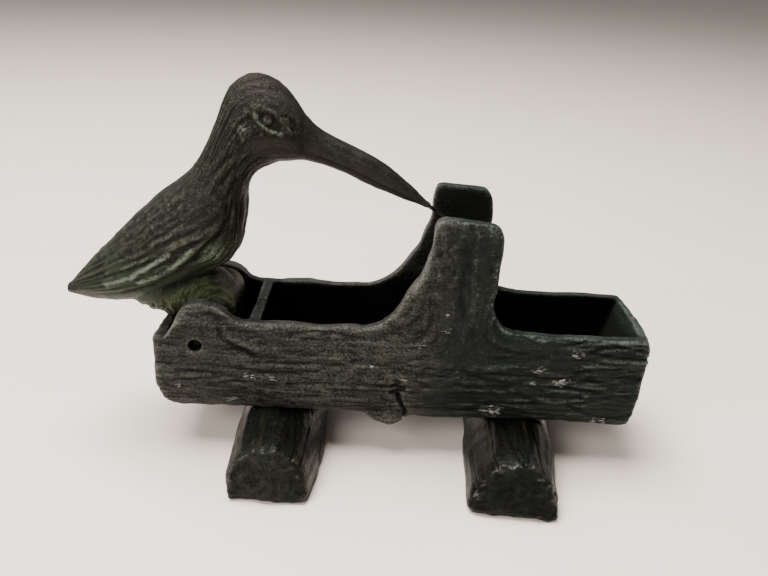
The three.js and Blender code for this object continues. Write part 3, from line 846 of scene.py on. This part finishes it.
def makePin():
    bm = nodeBlank("pivot_pin")
    rim = [edge for edge in bm.edges if len(edge.link_faces) == 2 and edge.calc_face_angle() > 1.2]
    bmesh.ops.bevel(
        bm, geom=rim, offset=0.25, offset_type="OFFSET", affect="EDGES", segments=3, profile=0.5, material=-1)
    piece = newPiece("pivotPin", bm)
    # Painted shade: the pin's steel is dimmed to near black so its ends show as dark holes in the ears.
    material = steelPaint("shadeDimmedPin", (0.4, 6.0, 0.4), 0.03)
    return finishPiece(piece, "log", material, ["pivot_pin"])


def makeRivet(name, node, x):
    low, high = (corner.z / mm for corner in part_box(node))
    bm = bmesh.new()
    profile = [(0, low), (2.2, low), (2.75, low + 0.4), (2.6, low + 1.1), (1.6, low + 1.2),
               (1.6, high - 1.1), (2.7, high - 1.1), (2.75, high - 0.75), (2.1, high - 0.25),
               (1.1, high), (0, high)]
    points = [bm.verts.new((radius, 0, z)) for radius, z in profile]
    edges = [bm.edges.new(pair) for pair in zip(points, points[1:])]
    bmesh.ops.spin(
        bm, geom=points + edges, cent=(0, 0, 0), axis=(0, 0, 1), angle=2 * math.pi, steps=40, use_merge=True)
    bmesh.ops.remove_doubles(bm, verts=bm.verts, dist=1e-4)
    bmesh.ops.recalc_face_normals(bm, faces=bm.faces)
    bmesh.ops.translate(bm, verts=bm.verts, vec=(x, 0, 0))
    for vert in bm.verts:  # hammer marks on the spread heads
        if abs(vert.co.z - low) < 0.6 or abs(vert.co.z - high) < 0.6:
            vert.co.z += 0.08 * noise.noise(vert.co * 0.9)
    piece = newPiece(name, bm)
    return finishPiece(piece, "log", steelPaint("dark" + name, (0.8, 0.8, 0.8)), [node])


def makeNeedle():
    low, high = (((corner - shift) / mm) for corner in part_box("beak_needle"))
    base, tip = Vector((49.2, 0, 52.3)), Vector((high.x, 0, low.z + 0.2))
    bm = bmesh.new()
    addRod(bm, base, tip, 0.5, 0.22, 20)
    side = [edge for edge in bm.edges if len(edge.link_faces) == 2 and edge.calc_face_angle() < 1.0]
    bmesh.ops.subdivide_edges(bm, edges=side, cuts=8, use_grid_fill=True)
    for vert in bm.verts:
        reach = (vert.co - base).length / (tip - base).length
        centre = base.lerp(tip, min(reach, 1))
        vert.co = centre + (vert.co - centre) * (1 + 0.25 * noise.noise(vert.co * 1.3))
    piece = newPiece("beakNeedle", bm)
    material = steelPaint("wornNeedle", (0.5, 0.5, 0.5), 0.45)
    return finishPiece(piece, "bird", material, ["beak_needle"])


# Radii of the coil and the wire, half the coil's width, its turns and its two legs' lengths.
springLook = {"coil": 1.95, "wire": 0.28, "half": 2.2, "turns": 4.25, "wallLeg": 5.8, "barLeg": 4.0}


def makeSpring():
    # a round wire swept along its two legs and its coil
    look = springLook
    coil = 2 * math.pi * look["coil"] * look["turns"]
    whole = look["wallLeg"] + coil + look["barLeg"]
    steps = 240

    def wireAt(run):
        onCoil = min(max(run - look["wallLeg"], 0), coil)
        past = run - look["wallLeg"] - onCoil
        angle = 0.75 * math.pi - onCoil / look["coil"]
        x = look["coil"] * math.cos(angle) + past * math.sin(angle)
        z = look["coil"] * math.sin(angle) - past * math.cos(angle)
        return Vector((pivotX + x, look["half"] * (2 * onCoil / coil - 1), pivotZ + z))

    bm = bmesh.new()
    stations = [wireAt(whole * i / steps) for i in range(steps + 1)]
    rings = []
    for i, station in enumerate(stations):
        heading = (stations[min(i + 1, steps)] - stations[max(i - 1, 0)]).normalized()
        side = Vector((0, 1, 0))
        lift = heading.cross(side).normalized()
        turn = Matrix((lift.cross(heading), lift, heading)).transposed().to_4x4()
        place = Matrix.Translation(station) @ turn
        ring = bmesh.ops.create_circle(bm, segments=10, radius=look["wire"], matrix=place)
        rings.append(list({edge for vert in ring["verts"] for edge in vert.link_edges}))
    for one, other in zip(rings, rings[1:]):
        bmesh.ops.bridge_loops(bm, edges=one + other)
    bmesh.ops.holes_fill(bm, edges=[edge for edge in bm.edges if edge.is_boundary], sides=0)
    bmesh.ops.recalc_face_normals(bm, faces=bm.faces)
    piece = newPiece("returnSpring", bm)
    finishPiece(piece, None, steelPaint("springWire", (0.6, 0.6, 0.6)), ["return_spring"])
    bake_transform(piece)
    return piece


def makeStage():
    bm = bmesh.new()
    bmesh.ops.create_grid(bm, x_segments=2, y_segments=2, size=3.0)
    floor = newPiece("floor", bm)
    paint = Paint("paleFloor")
    haze = paint.cloud(60.0, 2.0, 0.5, 1.0)
    colour = paint.mix(haze, (0.72, 0.635, 0.56, 1), (0.78, 0.69, 0.61, 1))
    normal = paint.bump(paint.cloud(1.2, 2.0, 0.5, 2.0), 0.01)
    floor.data.materials.append(paint.finish(colour, 0.42, 0.0, normal))


def addLamp(name, place, target, size, power, tint=(1, 1, 1)):
    data = bpy.data.lights.new(name, "AREA")
    data.shape = "RECTANGLE"
    data.size, data.size_y = size
    data.energy = power
    data.color = tint
    lamp = bpy.data.objects.new(name, data)
    bpy.context.scene.collection.objects.link(lamp)
    lamp.location = place
    lamp.rotation_euler = (Vector(target) - Vector(place)).to_track_quat("-Z", "Y").to_euler()


def makeLight():
    world = bpy.data.worlds.new("room")
    bpy.context.scene.world = world
    world.use_nodes = True
    sky = world.node_tree.nodes["Background"]
    sky.inputs["Color"].default_value = (1.0, 0.975, 0.945, 1)
    sky.inputs["Strength"].default_value = 0.22
    centre = (0, 0, 0.03)
    addLamp("overhead", (-0.14, 0.04, 0.62), centre, (0.5, 0.38), 15.0, (1, 0.975, 0.94))
    addLamp("front", (-0.36, -0.46, 0.36), centre, (0.4, 0.3), 5.0, (1, 0.975, 0.94))


cameraLook = {
    "place": (0.00557, -0.14059, 0.09795),
    "yaw": 0.0046,
    "pitch": 0.4311,
    "roll": 0.0511,
    "lens": 35.65,
}


def makeCamera():
    look = cameraLook
    yaw, pitch, roll = look["yaw"], look["pitch"], look["roll"]
    ahead = Vector((math.sin(yaw) * math.cos(pitch), math.cos(yaw) * math.cos(pitch), -math.sin(pitch)))
    level = Vector((math.cos(yaw), -math.sin(yaw), 0))
    upright = level.cross(ahead)
    right = math.cos(roll) * level + math.sin(roll) * upright
    up = -math.sin(roll) * level + math.cos(roll) * upright
    data = bpy.data.cameras.new("camera")
    data.lens = look["lens"]
    data.sensor_width = 36
    data.clip_start = 0.01
    camera = bpy.data.objects.new("camera", data)
    bpy.context.scene.collection.objects.link(camera)
    camera.location = look["place"]
    camera.rotation_euler = Matrix((right, up, -ahead)).transposed().to_euler()
    bpy.context.scene.camera = camera


print("log")
makeLog()
print("feet")
makeFoot("frontFoot", "front_foot", "face")
makeFoot("rearFoot", "rear_foot", "darkFace")
print("bird")
makeBird()
print("fittings")
makePin()
for name, node in (("frontRivet", "front_foot_rivet"), ("rearRivet", "rear_foot_rivet")):
    low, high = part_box(node)
    makeRivet(name, node, ((low.x + high.x) / 2 - shift.x) / mm)
makeNeedle()
makeSpring()
print("stage")
makeStage()
makeLight()
makeCamera()
